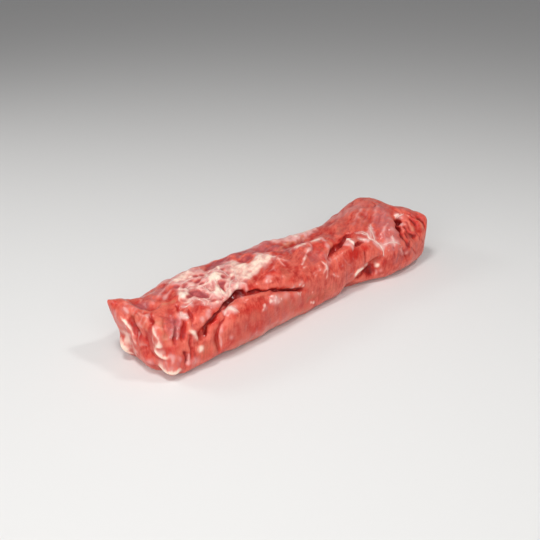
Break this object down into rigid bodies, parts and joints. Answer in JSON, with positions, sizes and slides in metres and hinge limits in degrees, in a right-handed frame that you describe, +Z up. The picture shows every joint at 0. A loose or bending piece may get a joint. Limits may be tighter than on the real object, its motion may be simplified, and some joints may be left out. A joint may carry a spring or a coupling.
{
  "type": "raw veal flank",
  "caption": "Long trimmed strip of raw veal flank that lies on its flat side, with a folded front, a fat-covered top and one thick round end.",
  "frame": {"origin": "middle of the strip's box, on the surface it lies on", "axes": "+X along the strip from its cut end to its thick end, -Y the side with the long fold, +Z up"},
  "size_m": [0.2882, 0.0787, 0.049],
  "materials": {
    "raw_veal": "moist raw muscle with cream fat and sinew on its surface"
  },
  "bodies": {
    "root": {"veal_flank": "raw_veal"}
  },
  "joints": []
}
